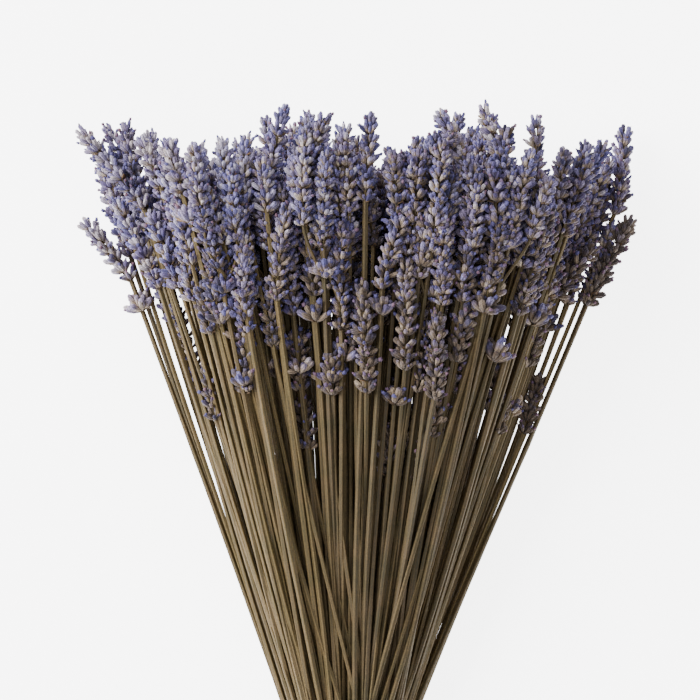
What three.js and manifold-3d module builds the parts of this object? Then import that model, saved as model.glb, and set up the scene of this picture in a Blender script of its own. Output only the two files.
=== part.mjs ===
// A bunch of dried lavender, lying on a surface with its tips towards +Y and its cut ends
// towards -Y. The stems run through a narrow waist and fan out to a two-lobed crown of heads.
//
// The bunch is laid out in cells, one for each bundle of sprays. A cell has its place at the
// waist and at the crown, in the same order, so bundles that start side by side stay so. Each bundle is two solids: its stems, which meet at
// the waist, and its heads, which grow into one another.

import * as THREE from 'three';
import Module from 'manifold-3d';

const wasm = await Module();
wasm.setup();

// ---------------------------------------------------------------- driving dimensions, mm

// Stations along the bunch. The stems are gathered at the waist, and splay a little at the cut.
const CUT_END = -170;
const WAIST = -136;
const CROWN = 170;

// Cells in rows, from the surface up: their pitch at the waist and across the open crown.
const WAIST_PITCH = 4.5;
const WAIST_RISE = 4.15;
const WAIST_FLOOR = 1.83;
const WAIST_MIDDLE = -4;
const CUT_SPREAD = 1.13;
const CROWN_PITCH = 30;
const ROWS = [
  { height: 11.5, count: 9, drop: 5 },
  { height: 36, count: 8, drop: 0 },
  { height: 61, count: 7, drop: 2 },
  { height: 86, count: 6, drop: 7, empty: 3 },
];
const CROWN_STAGGER = 3.5;
const CROWN_SCATTER = 2;

// The line of the highest tips across the crown: two lobes with a valley between them.
const TIP_LINE = [
  [-125, 160], [-105, 163], [-89, 156], [-71, 151], [-51, 157], [-37, 170], [-18, 167],
  [-6, 160], [4, 166], [11, 140], [15, 151], [26, 157], [40, 168], [56, 170], [77, 164],
  [89, 151], [98, 149], [109, 153], [120, 160], [125, 145],
];

// The four sprays of a bundle: their places round its middle at the crown, where it is widest,
// and how far they are from its middle at the waist and at the cut.
const SPRAYS = [
  { side: -6.8, rise: -3.4 },
  { side: -2.3, rise: 3.4 },
  { side: 2.3, rise: -3.4 },
  { side: 6.8, rise: 3.4 },
];
const GATHERED = 0.9;
const CUT_SPLAY = 1.12;
const SIDE_SCATTER = 0.8;
const RISE_SCATTER = 0.5;
const CUT_RAGGED = 5;

const STEM_SIDE = 2;
const STEM_TO_HEAD = 0.35;
const CLEAR = 0.2;

// Heads: how far each tip stays below the tip line, and the size of a head.
const TIP_ORDERS = [
  [0, 8, 18, 34],
  [34, 18, 8, 0],
  [8, 0, 18, 34],
  [34, 18, 0, 8],
  [16, 0, 10, 24],
  [24, 34, 16, 0],
];
const TIP_SCATTER = 5;
const HEAD_LENGTH = [35, 47];
const HEAD_RADIUS = [5.6, 6.3];
const CALYCES = 3;
const HEAD_FOOT_RADIUS = 1.3;
const CORE_SHARE = 0.5;
const TOP_POINT = 0.6;
const NOTCH_HEIGHT = 0.5;
const CALYX_HEIGHT = 0.8;
const SMALLEST_REACH = 0.4;
const WHORL_TAPER = [0.88, 1, 0.94, 0.72];

// Lone whorls below the heads, and heads that sit low on stems of their own.
const LONE_WHORL_SHARE = 0.2;
const LONE_WHORL_HEIGHT = 8;
const LONE_WHORL_RADIUS = 5;
const LONE_WHORL_BELOW = [9, 34];
const LOW_HEADS = [
  { row: 0, place: 0, side: -26, rise: 3, tip: 118, length: 30, radius: 5.2 },
  { row: 0, place: 8, side: 20, rise: 3, tip: 119, length: 38, radius: 5.6 },
  { row: 1, place: 0, side: -2, rise: -2, tip: 88, length: 40, radius: 5 },
  { row: 2, place: 3, side: 1, rise: 0, tip: 88, length: 42, radius: 5.4 },
  { row: 2, place: 4, side: 0, rise: 0, tip: 96, length: 46, radius: 5.6 },
  { row: 3, place: 4, side: 0, rise: 0, tip: 75, length: 34, radius: 5.4 },
];
const LOW_STEM_ROOT = WAIST + 4;

const SEED = 2;

// ---------------------------------------------------------------- layout

// The same draw for the same numbers, from 0 to 1.
function chance(...numbers) {
  let state = SEED;
  for (const number of numbers) {
    state = Math.imul(state ^ (number + 0x9e3779b9), 0x85ebca6b) >>> 0;
    state = (state ^ (state >>> 13)) >>> 0;
    state = Math.imul(state, 0xc2b2ae35) >>> 0;
    state = (state ^ (state >>> 16)) >>> 0;
  }
  return state / 4294967296;
}

function mix(low, high, share) {
  return low + (high - low) * share;
}

function tipLineAt(x) {
  const last = TIP_LINE.length - 1;
  if (x <= TIP_LINE[0][0]) return TIP_LINE[0][1];
  if (x >= TIP_LINE[last][0]) return TIP_LINE[last][1];
  const next = TIP_LINE.findIndex(([px]) => px > x);
  const [x0, y0] = TIP_LINE[next - 1];
  const [x1, y1] = TIP_LINE[next];
  return mix(y0, y1, (x - x0) / (x1 - x0));
}

// The place of something that runs straight from cut to waist and from waist to crown.
function placeAt(thing, y) {
  if (y < WAIST) return thing.waist.clone().lerp(thing.cut, (WAIST - y) / (WAIST - CUT_END));
  return thing.waist.clone().lerp(thing.crown, (y - WAIST) / (CROWN - WAIST));
}

// Where a stem's axis is at a given length along the bunch.
function stemPoint(cell, spray, y) {
  const place = placeAt(cell, y).add(placeAt(spray, y));
  return new THREE.Vector3(place.x, y, Math.max(place.y, STEM_SIDE / 2));
}

function makeCells() {
  const cells = [];
  ROWS.forEach((row, rowIndex) => {
    for (let place = 0; place < row.count; place += 1) {
      if (place === row.empty) continue;
      const number = cells.length + 1;
      const across = place - (row.count - 1) / 2;
      const stagger = rowIndex === 0 ? 0 : CROWN_STAGGER * (place % 2 === 0 ? 1 : -1);
      const scatter = mix(-CROWN_SCATTER, CROWN_SCATTER, chance(number, 21));
      const waist = new THREE.Vector2(across * WAIST_PITCH, WAIST_FLOOR + rowIndex * WAIST_RISE);
      cells.push({
        row: rowIndex,
        place,
        number,
        drop: row.drop,
        cut: new THREE.Vector2(waist.x * CUT_SPREAD + WAIST_MIDDLE, waist.y * CUT_SPREAD),
        waist: waist.add(new THREE.Vector2(WAIST_MIDDLE, 0)),
        crown: new THREE.Vector2(across * CROWN_PITCH + scatter, row.height + stagger),
      });
    }
  });
  return cells;
}

function makeSprays(cell) {
  const order = TIP_ORDERS[Math.floor(chance(cell.number, 1) * TIP_ORDERS.length)];
  return SPRAYS.map((slot, index) => {
    const draw = (key) => chance(cell.number, index + 2, key);
    const inner = index === 0 || index === 1 ? -1 : 1;
    const up = Math.sign(slot.rise);
    const side = slot.side + mix(-SIDE_SCATTER, SIDE_SCATTER, draw(1));
    const rise = slot.rise + mix(-RISE_SCATTER, RISE_SCATTER, draw(2));
    const spray = {
      crown: new THREE.Vector2(side, rise),
      waist: new THREE.Vector2(inner * GATHERED, up * GATHERED),
      cut: new THREE.Vector2(inner * CUT_SPLAY, up * CUT_SPLAY),
      start: CUT_END + CUT_RAGGED * draw(3),
      radius: mix(...HEAD_RADIUS, draw(4)),
      turn: draw(5) * Math.PI,
    };
    const line = tipLineAt(cell.crown.x + side);
    spray.tip = line - cell.drop - order[index] - TIP_SCATTER * draw(6);
    spray.foot = spray.tip - mix(...HEAD_LENGTH, draw(7));
    spray.stemEnd = spray.foot - STEM_TO_HEAD;
    return spray;
  });
}

// ---------------------------------------------------------------- solids

function toManifold(points, faces) {
  const mesh = new wasm.Mesh({
    numProp: 3,
    vertProperties: new Float32Array(points.flatMap((p) => [p.x, p.y, p.z])),
    triVerts: new Uint32Array(faces.flat()),
  });
  return new wasm.Manifold(mesh);
}

function join(solids) {
  return solids.reduce((whole, solid) => whole.add(solid));
}

// A square stem through its stations, with its cut end square to the bunch.
function stemSolid(cell, spray, stations) {
  const half = STEM_SIDE / 2;
  const corners = [[-half, -half], [half, -half], [half, half], [-half, half]];
  const points = [];
  for (const y of stations) {
    const centre = stemPoint(cell, spray, y);
    for (const [dx, dz] of corners) {
      points.push(new THREE.Vector3(centre.x + dx, y, centre.z + dz));
    }
  }
  const faces = [[0, 1, 2], [0, 2, 3]];
  for (let ring = 0; ring < stations.length - 1; ring += 1) {
    for (let side = 0; side < 4; side += 1) {
      const a = ring * 4 + side;
      const b = ring * 4 + ((side + 1) % 4);
      faces.push([a, a + 4, b + 4], [a, b + 4, b]);
    }
  }
  const top = (stations.length - 1) * 4;
  faces.push([top, top + 2, top + 1], [top, top + 3, top + 2]);
  return toManifold(points, faces);
}

// A head: whorls of calyces that stand out and up from a slim core, each whorl turned between
// the calyces of the one below, and a pointed top. limits keep it clear of its neighbours.
function headSolid(cell, spray, foot, tip, tapers, radius, limits) {
  const step = (tip - foot) / (tapers.length + TOP_POINT);
  const points = [];
  const faces = [];
  const ring = (corners, turn) => {
    const first = points.length;
    corners.forEach(([y, reach], index) => {
      const angle = turn + (index / corners.length) * Math.PI * 2;
      const axis = stemPoint(cell, spray, y);
      const way = new THREE.Vector3(Math.cos(angle), 0, Math.sin(angle));
      points.push(axis.addScaledVector(way, roomAlong(axis, way, reach, limits)));
    });
    return first;
  };
  let base = ring(Array(CALYCES).fill([foot, HEAD_FOOT_RADIUS]), spray.turn);
  for (let i = 1; i < CALYCES - 1; i += 1) faces.push([base, base + i, base + i + 1]);
  for (const [whorl, taper] of tapers.entries()) {
    const turn = spray.turn + (whorl * Math.PI) / CALYCES;
    const y = foot + whorl * step;
    const reach = radius * taper;
    const core = reach * CORE_SHARE;
    const calyxAndNotch = [[y + step * CALYX_HEIGHT, reach], [y + step * NOTCH_HEIGHT, core]];
    const tips = ring(Array(CALYCES).fill(calyxAndNotch).flat(), turn);
    const next = ring(Array(CALYCES).fill([y + step, core]), turn + Math.PI / CALYCES);
    for (let i = 0; i < CALYCES; i += 1) {
      const after = (i + 1) % CALYCES;
      const before = (i + CALYCES - 1) % CALYCES;
      const calyx = tips + 2 * i;
      const notch = tips + 2 * i + 1;
      const oldNotch = tips + 2 * before + 1;
      faces.push([base + i, oldNotch, calyx], [base + i, calyx, notch]);
      faces.push([base + i, notch, base + after]);
      faces.push([next + before, calyx, oldNotch], [next + before, next + i, calyx]);
      faces.push([next + i, notch, calyx]);
    }
    base = next;
  }
  const apex = points.length;
  points.push(stemPoint(cell, spray, tip));
  for (let i = 0; i < CALYCES; i += 1) {
    faces.push([base + i, apex, base + ((i + 1) % CALYCES)]);
  }
  return toManifold(points, faces);
}

// How far a calyx may reach from the axis before it meets one of the limits.
function roomAlong(axis, way, reach, limits) {
  let room = reach;
  for (const limit of limits) {
    if (axis.y > limit.until) continue;
    const spare = -limit.past(axis);
    const gain = limit.past(axis.clone().add(way)) + spare;
    if (gain > 0) room = Math.min(room, Math.max(spare / gain, SMALLEST_REACH));
  }
  return room;
}

// Planes halfway to the neighbouring cells, and the surface below.
function cellLimits(cell, cells) {
  const limits = [{ until: Infinity, past: (p) => -p.z }];
  for (const other of cells) {
    const gap = other.crown.clone().sub(cell.crown);
    if (other === cell || gap.length() > 2 * CROWN_PITCH) continue;
    const way = gap.normalize();
    const past = (p) => {
      const half = placeAt(cell, p.y).add(placeAt(other, p.y)).multiplyScalar(0.5);
      return (p.x - half.x) * way.x + (p.z - half.y) * way.y + CLEAR;
    };
    limits.push({ until: Infinity, past });
  }
  return limits;
}

// A head stays on its own side of each stem of its bundle that passes it.
function stemLimits(cell, spray, sprays) {
  const step = (spray.tip - spray.foot) / WHORL_TAPER.length;
  const halfway = (spray.foot + spray.tip) / 2;
  const own = stemPoint(cell, spray, halfway);
  return sprays.filter((other) => other !== spray && other.stemEnd > spray.foot - 1)
    .map((other) => {
      const gap = stemPoint(cell, other, halfway).sub(own);
      const way = new THREE.Vector2(gap.x, gap.z).normalize();
      const reach = (Math.abs(way.x) + Math.abs(way.y)) * STEM_SIDE / 2 + 2 * CLEAR;
      const past = (p) => {
        const stem = stemPoint(cell, other, p.y);
        return (p.x - stem.x) * way.x + (p.z - stem.z) * way.y + reach;
      };
      return { until: other.stemEnd + step, past };
    });
}

function headsSolid(cell, cells, sprays) {
  const around = cellLimits(cell, cells);
  const heads = sprays.map((spray) => {
    const limits = [...around, ...stemLimits(cell, spray, sprays)];
    return headSolid(cell, spray, spray.foot, spray.tip, WHORL_TAPER, spray.radius, limits);
  });
  return join(heads);
}

function stemsSolid(cell, cells, sprays) {
  const around = cellLimits(cell, cells);
  const lowest = Math.min(...sprays.map((spray) => spray.foot));
  const pieces = sprays.map((spray) => stemSolid(cell, spray, [spray.start, WAIST, spray.stemEnd]));
  if (chance(cell.number, 11) < LONE_WHORL_SHARE) {
    const spray = sprays[Math.floor(chance(cell.number, 12) * sprays.length)];
    const top = lowest - mix(...LONE_WHORL_BELOW, chance(cell.number, 13));
    const bottom = top - LONE_WHORL_HEIGHT;
    pieces.push(headSolid(cell, spray, bottom, top, [1], LONE_WHORL_RADIUS, around));
  }
  for (const low of LOW_HEADS) {
    if (low.row !== cell.row || low.place !== cell.place) continue;
    const spray = {
      crown: new THREE.Vector2(low.side, low.rise),
      waist: new THREE.Vector2(),
      turn: 0,
    };
    const inside = Math.abs(low.side) < CROWN_PITCH / 2;
    const tip = inside ? Math.min(low.tip, lowest - 3) : low.tip;
    const foot = tip - low.length;
    pieces.push(stemSolid(cell, spray, [LOW_STEM_ROOT, foot + low.length / 4]));
    pieces.push(headSolid(cell, spray, foot, tip, WHORL_TAPER, low.radius, around));
  }
  return join(pieces);
}

function toMesh(solid, name, material) {
  const { vertProperties, triVerts } = solid.getMesh();
  const geometry = new THREE.BufferGeometry();
  geometry.setAttribute('position', new THREE.BufferAttribute(vertProperties, 3));
  geometry.setIndex(new THREE.BufferAttribute(triVerts, 1));
  geometry.computeVertexNormals();
  const mesh = new THREE.Mesh(geometry, material);
  mesh.name = name;
  return mesh;
}

const stemMaterial = () => new THREE.MeshStandardMaterial({
  color: 0x8f8260,
  roughness: 0.85,
  metalness: 0,
  flatShading: true,
});

const headMaterial = () => new THREE.MeshStandardMaterial({
  color: 0x6f6a8c,
  roughness: 0.95,
  metalness: 0,
  flatShading: true,
});

// ---------------------------------------------------------------- the bunch

const bunch = new THREE.Group();
const cells = makeCells();
for (const cell of cells) {
  const label = `bundle_${String(cell.number).padStart(2, '0')}`;
  const sprays = makeSprays(cell);
  bunch.add(toMesh(stemsSolid(cell, cells, sprays), `${label}_stems`, stemMaterial()));
  bunch.add(toMesh(headsSolid(cell, cells, sprays), `${label}_heads`, headMaterial()));
}

// The origin is under the middle of the bunch.
const box = new THREE.Box3().setFromObject(bunch);
const middle = box.getCenter(new THREE.Vector3());
bunch.position.set(-middle.x, -middle.y, -box.min.z);

export default bunch;
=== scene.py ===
"""A loose bunch of dried lavender, lying on a pale surface and seen from straight above.

The bunch is laid out in cells, one for each bundle of sprays, with the same rule and the same
seed as the solids that it replaces. Stalks are swept along their paths, and calyces, bracts and
withered corollas are set on whorls round each head.
"""

import math
import random

import bpy
from mathutils import Matrix, Vector


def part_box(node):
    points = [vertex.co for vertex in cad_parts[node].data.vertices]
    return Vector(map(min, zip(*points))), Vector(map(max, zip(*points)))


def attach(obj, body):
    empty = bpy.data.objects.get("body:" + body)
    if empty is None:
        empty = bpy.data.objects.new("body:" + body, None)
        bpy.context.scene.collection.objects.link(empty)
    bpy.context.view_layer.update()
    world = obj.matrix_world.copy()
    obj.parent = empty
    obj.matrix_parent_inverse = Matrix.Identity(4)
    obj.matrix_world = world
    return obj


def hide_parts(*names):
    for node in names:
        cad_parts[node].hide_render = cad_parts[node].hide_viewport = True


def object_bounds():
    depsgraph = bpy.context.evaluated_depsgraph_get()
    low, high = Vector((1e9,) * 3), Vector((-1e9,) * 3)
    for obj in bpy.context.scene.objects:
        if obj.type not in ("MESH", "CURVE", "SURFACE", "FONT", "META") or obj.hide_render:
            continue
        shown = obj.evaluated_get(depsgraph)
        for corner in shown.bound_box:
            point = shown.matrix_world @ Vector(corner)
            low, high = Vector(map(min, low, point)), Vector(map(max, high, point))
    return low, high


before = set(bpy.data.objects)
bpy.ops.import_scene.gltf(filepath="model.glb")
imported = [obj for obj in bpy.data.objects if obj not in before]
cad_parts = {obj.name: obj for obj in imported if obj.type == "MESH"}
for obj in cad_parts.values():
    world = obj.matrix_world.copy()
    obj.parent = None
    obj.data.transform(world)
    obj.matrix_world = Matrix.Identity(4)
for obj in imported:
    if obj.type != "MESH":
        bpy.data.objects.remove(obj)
CAD_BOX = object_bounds()

bl_info = {
    "name": "Dried Lavender Bunch",
    "version": (1, 0, 0),
    "blender": (4, 5, 0),
    "location": "3D View > Sidebar > Lavender",
    "description": "Builds a bunch of dried lavender lying on a surface",
    "category": "Object",
}

MM = 0.001
TURN = 2 * math.pi

# ------------------------------------------------------------------ layout, as in the solids, mm

CUT_END = -170
WAIST = -136
CROWN = 170

WAIST_PITCH = 4.5
WAIST_RISE = 4.15
WAIST_FLOOR = 1.83
WAIST_MIDDLE = -4
CUT_SPREAD = 1.13
CROWN_PITCH = 30
# Rows of bundles: height at the crown, how many, how far their tips stay back, the empty place.
ROWS = [(11.5, 9, 5, None), (36, 8, 0, None), (61, 7, 2, None), (86, 6, 7, 3)]
CROWN_STAGGER = 3.5
CROWN_SCATTER = 2

TIP_LINE = [
    (-125, 160), (-105, 163), (-89, 156), (-71, 151), (-51, 157), (-37, 170), (-18, 167),
    (-6, 160), (4, 166), (11, 140), (15, 151), (26, 157), (40, 168), (56, 170), (77, 164),
    (89, 151), (98, 149), (109, 153), (120, 160), (125, 145),
]

SPRAYS = [(-6.8, -3.4), (-2.3, 3.4), (2.3, -3.4), (6.8, 3.4)]
GATHERED = 0.9
CUT_SPLAY = 1.12
SIDE_SCATTER = 0.8
RISE_SCATTER = 0.5
CUT_RAGGED = 5
STEM_SIDE = 2

TIP_ORDERS = [
    (0, 8, 18, 34), (34, 18, 8, 0), (8, 0, 18, 34), (34, 18, 0, 8), (16, 0, 10, 24), (24, 34, 16, 0),
]
TIP_SCATTER = 5
HEAD_LENGTH = (35, 47)
HEAD_RADIUS = (5.6, 6.3)

LONE_WHORL_SHARE = 0.2
LONE_WHORL_BELOW = (9, 34)
# Heads that sit low, each on a stem of its own: row and place of the bundle, side and rise from
# its middle, tip, length and radius.
LOW_HEADS = [
    (0, 0, -26, 3, 118, 30, 5.2), (0, 8, 20, 3, 119, 38, 5.6), (1, 0, -2, -2, 88, 40, 5),
    (2, 3, 1, 0, 88, 42, 5.4), (2, 4, 0, 0, 96, 46, 5.6), (3, 4, 0, 0, 75, 34, 5.4),
]
LOW_HEAD_GAP = 3
LOW_STEM_ROOT = WAIST + 4

STILL = Vector((0, 0))

SEED = 2
WORD = 0xFFFFFFFF


def chance(*numbers):
    """The same draw for the same numbers, from 0 to 1."""
    state = SEED
    for number in numbers:
        state = ((state ^ ((number + 0x9E3779B9) & WORD)) * 0x85EBCA6B) & WORD
        state ^= state >> 13
        state = (state * 0xC2B2AE35) & WORD
        state ^= state >> 16
    return state / (WORD + 1)


def mix(low, high, share):
    return low + (high - low) * share


def held(value, low=0.0, high=1.0):
    """A value kept between two limits."""
    return min(max(value, low), high)


def tip_line_at(x):
    """How far along the bunch the highest tips are, at a place across it."""
    x = held(x, TIP_LINE[0][0], TIP_LINE[-1][0])
    for (x0, y0), (x1, y1) in zip(TIP_LINE, TIP_LINE[1:]):
        if x <= x1:
            return mix(y0, y1, (x - x0) / (x1 - x0))


def fan_share(y):
    """How far a place lies from the waist to the crown."""
    return (y - WAIST) / (CROWN - WAIST)


def place_at(thing, y):
    """The place of a cell or a spray that runs straight from cut to waist and waist to crown."""
    if y < WAIST:
        return thing["waist"].lerp(thing["cut"], (WAIST - y) / (WAIST - CUT_END))
    return thing["waist"].lerp(thing["crown"], fan_share(y))


def stem_point(cell, spray, y):
    """Where a stem's axis is at a given length along the bunch."""
    place = place_at(cell, y) + place_at(spray, y)
    return Vector((place.x, y, max(place.y, STEM_SIDE / 2)))


def make_cells():
    cells = []
    for row, (height, count, drop, empty) in enumerate(ROWS):
        for place in range(count):
            if place == empty:
                continue
            number = len(cells) + 1
            across = place - (count - 1) / 2
            stagger = 0
            if row > 0:
                stagger = CROWN_STAGGER * (1 if place % 2 == 0 else -1)
            scatter = mix(-CROWN_SCATTER, CROWN_SCATTER, chance(number, 21))
            waist = Vector((across * WAIST_PITCH, WAIST_FLOOR + row * WAIST_RISE))
            cells.append({
                "row": row, "place": place, "number": number, "drop": drop,
                "cut": Vector((waist.x * CUT_SPREAD + WAIST_MIDDLE, waist.y * CUT_SPREAD)),
                "waist": waist + Vector((WAIST_MIDDLE, 0)),
                "crown": Vector((across * CROWN_PITCH + scatter, height + stagger)),
            })
    return cells


def corner_places(side, rise):
    """Where one of a bundle's four stalks lies at the waist and at the cut, from their middle."""
    corner = Vector((math.copysign(1, side), math.copysign(1, rise)))
    return {"waist": corner * GATHERED, "cut": corner * CUT_SPLAY}


def make_sprays(cell):
    """The four sprays of a bundle, then any head that sits low on a stem of its own."""
    number = cell["number"]
    order = TIP_ORDERS[int(chance(number, 1) * len(TIP_ORDERS))]
    sprays = []
    for index, (slot_side, slot_rise) in enumerate(SPRAYS):
        draws = [chance(number, index + 2, key) for key in range(8)]
        _spare, aside, above, cut, width, _spare, back, length = draws
        side = slot_side + mix(-SIDE_SCATTER, SIDE_SCATTER, aside)
        rise = slot_rise + mix(-RISE_SCATTER, RISE_SCATTER, above)
        line = tip_line_at(cell["crown"].x + side)
        tip = line - cell["drop"] - order[index] - TIP_SCATTER * back
        sprays.append({
            "cell": cell, "key": number * 10 + index, "crown": Vector((side, rise)),
            "start": CUT_END + CUT_RAGGED * cut, "radius": mix(*HEAD_RADIUS, width),
            "tip": tip, "foot": tip - mix(*HEAD_LENGTH, length), **corner_places(side, rise),
        })
    lowest = min(spray["foot"] for spray in sprays)
    if chance(number, 11) < LONE_WHORL_SHARE:
        spray = sprays[int(chance(number, 12) * len(sprays))]
        spray["lone"] = lowest - mix(*LONE_WHORL_BELOW, chance(number, 13))
    for row, place, side, rise, tip, length, radius in LOW_HEADS:
        if (row, place) != (cell["row"], cell["place"]):
            continue
        if abs(side) < CROWN_PITCH / 2:
            tip = min(tip, lowest - LOW_HEAD_GAP)
        sprays.append({
            "cell": cell, "key": number * 10 + 9, "crown": Vector((side, rise)), "waist": STILL,
            "start": LOW_STEM_ROOT, "radius": radius, "tip": tip, "foot": tip - length,
        })
    return sprays


def bunch_shift(bundles):
    """From the layout's origin to the frame's, mm: the solids' box tells where a bundle lies."""
    for cell, sprays in bundles:
        if len(sprays) > len(SPRAYS) or any("lone" in spray for spray in sprays):
            continue
        low, _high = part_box("bundle_%02d_stems" % cell["number"])
        ends = [stem_point(cell, s, y).x for s in sprays for y in (s["start"], WAIST, s["foot"])]
        left = min(ends) - STEM_SIDE / 2
        bottom = min(spray["start"] for spray in sprays)
        return Vector((low[0] / MM - left, low[1] / MM - bottom, 0))
    raise RuntimeError("no plain bundle to measure from")


BUNDLES = [(cell, make_sprays(cell)) for cell in make_cells()]
SHIFT = bunch_shift(BUNDLES)

# ------------------------------------------------------------------ heads on the upper side, mm

# The view from above: how wide, what it looks at, and from how high.
VIEW_WIDTH = 315
VIEW_MIDDLE = 62.3
MIDDLE_HEIGHT = 45
CAMERA_HEIGHT = 1600

# Each head as it looks from above: its foot across and along, its tip across and along, how far
# it lies below the top of the bunch, and its tone, from 1 (pale) to -3 (old and brown), 2 buff.
FRONT_HEADS = [
    (-95.5, 134.5, -101, 163.5, 0, -2), (-92, 124.5, -121.5, 161, 0, 0), (-86, 91.5, -105, 128.5, 0, 1),
    (-84, 132.5, -93.5, 157, 0, 1), (-76.5, 118, -83, 147, 2, 0), (-75.5, 88.5, -89, 122.5, 2, 0),
    (-74.5, 130.5, -82, 155.5, 0, 0), (-71, 101, -77.5, 128.5, 0, 0), (-70, 85, -75.5, 112.5, 0, 0),
    (-67.5, 133.5, -69.5, 154, 0, 0), (-65, 114.5, -72, 142.5, 2, 0), (-60.5, 85, -64, 117, 6, -2),
    (-56, 108, -66, 136, 0, 1), (-55, 130.5, -57.5, 156.5, 0, 1), (-51, 117, -53, 145, 1, 0),
    (-47.5, 85, -48, 113.5, 2, 0), (-47, 121, -47, 158, 0, 1), (-38, 130.5, -29, 171, 1, -1),
    (-37, 121, -39.5, 146.5, 0, 1), (-33, 85.5, -28, 127, 0, 0), (-23.5, 139, -19, 166, 3, 0),
    (-20.5, 133.5, -11, 168, 0, 0), (-20, 120.5, -25.5, 148, 0, 1), (-16, 85, -18, 115.5, 7, -2),
    (-11, 112.5, -12.5, 145, 0, 0), (-5.5, 88.5, -4.5, 123, 6, -1), (-0.5, 124, -3, 163, 0, 1),
    (7, 130.5, 9.5, 167.5, 0, -1), (7.5, 44.5, 5.5, 92, 0, 2), (10.5, 106.5, 7, 142.5, 8, -2),
    (14.5, 90, 23.5, 121, 0, 0), (21.5, 115.5, 19.5, 150, 0, -1), (24.5, 51, 25, 102, 0, 2),
    (25.5, 125.5, 30.5, 157, 0, 0), (31, 95.5, 35, 123.5, 1, 0), (33.5, 146, 47, 158, 0, -2),
    (38, 41, 39, 78.5, 0, 2), (41, 90.5, 41.5, 121, 0, 0), (41.5, 107.5, 45, 142.5, 2, 0),
    (50.5, 82, 54, 112, 4, -1), (52, 105.5, 56, 145, 0, -1), (56, 133.5, 39.5, 169.5, 3, 1),
    (62.5, 89.5, 67.5, 118, 5, -2), (66, 112, 63.5, 146.5, 2, -1), (66.5, 130, 70, 161.5, 4, -1),
    (73.5, 122, 59, 171.5, 0, 1), (74, 99, 76.5, 133, 0, 0), (81, 120.5, 83.5, 166, 0, 0),
    (83.5, 98.5, 90, 128.5, 0, 0), (89, 88.5, 95, 118, 3, -1), (91, 84, 110, 109, 4, -2),
    (92.5, 124.5, 96.5, 151.5, 0, -1), (97, 96.5, 106, 130.5, 2, -1), (97.5, 126, 105, 150, 0, 0),
    (100, 125.5, 115, 155, 0, -1), (107, 84, 126.5, 121, 0, -3), (108, 109, 116, 136, 6, -1),
    (119, 123.5, 123.5, 161, 0, 0),
]

# Old heads that ended low and lie deep among the stalks, as the ones above.
DEEP_HEADS = [
    (-22.5, 42, -23.5, 71, 18, -2), (-20, 17.5, -21, 40, 24, -2), (-46, 43.5, -48, 71, 9, -1),
    (17, 4, 19, 28.5, 22, -2), (28, 4, 30.5, 26, 24, -2), (65.5, 22, 69, 42, 7, -2),
    (36, 22, 40.5, 40, 11, -2), (-7.5, 40, -9, 60, 7, -1), (21.5, 22, 24.5, 42, 34, -2),
    (-62, 70, -66, 92, 8, -2), (48, 58, 52, 84, 9, -2), (79, 52, 84, 76, 7, -3),
    (3, 62, 3.5, 92, 12, -2), (-34, 62, -37, 92, 10, -2), (62.5, 36, 68, 62, 20, -2),
    (77, 22, 85, 50, 16, -2), (47, 44, 51, 70, 20, -2), (24, 8, 26, 34, 32, -2),
    (-60, 30, -64, 58, 14, -2), (-58, 72, -62, 96, 12, -2),
]

# Lone whorls as they look from above, across and along, and how far each stalk lies below the
# top of the bunch; its head lies further up.
FRONT_WHORLS = [
    (-52, 76.5, 5), (-48, 46.5, 5), (-9, 48.5, 5), (-2, 58, 5), (20.5, 38.5, 4), (63, 58, -7),
    (69, 33, 5), (-23.5, 52.5, 5), (-2, 110.5, 5), (82, 74, -7), (-41.5, 85.5, 5),
]

DOME_TOP = 89
DOME_FLAT = 2.7
DOME_FALL = 50
DOME_LOWEST = 9
# The front stalks lie in layers on top of the waist, which slopes down past its shoulders.
WAIST_LAYERS = 4
WAIST_LAYER_RISE = 2.3
WAIST_SIDES = (-17, 12)
WAIST_CELLS = 8
WAIST_TOP = 17.6
WAIST_SHUFFLE = 2.8
SHOULDER_CELLS = 2.5
SHOULDER_SLOPE = 2 * WAIST_RISE
SHOULDER_LOWEST = 2.5
# How many of the front stalks cross the others to some other place at the waist, and how far.
CROSSING_SHARE = 0.2
CROSSING_STEP = (7, 15)
FRONT_SAG = 2.5
FRONT_RADIUS = (6.0, 7.0)
FRONT_NOD = 1.5
# Heads that end lower lie over the stalks of those that end higher.
LIFT_FROM = 140
LIFT = 0.16
LIFT_LIMITS = (-2, 7)
# Above a lone whorl: how far its head's foot and tip lie along, and how much further across.
WHORL_TO_FOOT = 42
WHORL_TO_TIP = 84
WHORL_TIP_LIMIT = 146
WHORL_REACH = (1.16, 1.24)
WHORL_TIP_REACH = 1.12

# A spray's key seeds its draws. These are the first keys of the sprays outside the bundles.
FRONT_KEY = 7000
BETWEEN_KEY = 9000
INNER_KEY = 9500
NOTCH_KEY = 9700
SHOOT_KEY = 40000
# What is added to a key for the draws of one step each.
NOD_DRAWS = 5000
WIDTH_DRAWS = 900
WHORL_DRAWS = 100
SEAT_DRAWS = 300


def own_spray(crown, waist, cut, **facts):
    """A spray outside the bundles, whose stalk runs through these places."""
    cell = {"crown": crown, "waist": waist, "cut": cut}
    return {"cell": cell, "crown": STILL, "waist": STILL, "cut": STILL, **facts}


def as_seen(x, y, height):
    """The place in the layout that looks to be at x and y of the frame, from the camera."""
    scale = (CAMERA_HEIGHT - height) / (CAMERA_HEIGHT - MIDDLE_HEIGHT)
    across = x * scale
    along = VIEW_MIDDLE + (y - VIEW_MIDDLE) * scale
    return across - SHIFT.x, along - SHIFT.y


def fan_across(x, y):
    """Which ray of the fan passes through a place."""
    return (x - WAIST_MIDDLE) / mix(WAIST_PITCH, CROWN_PITCH, fan_share(y))


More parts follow.
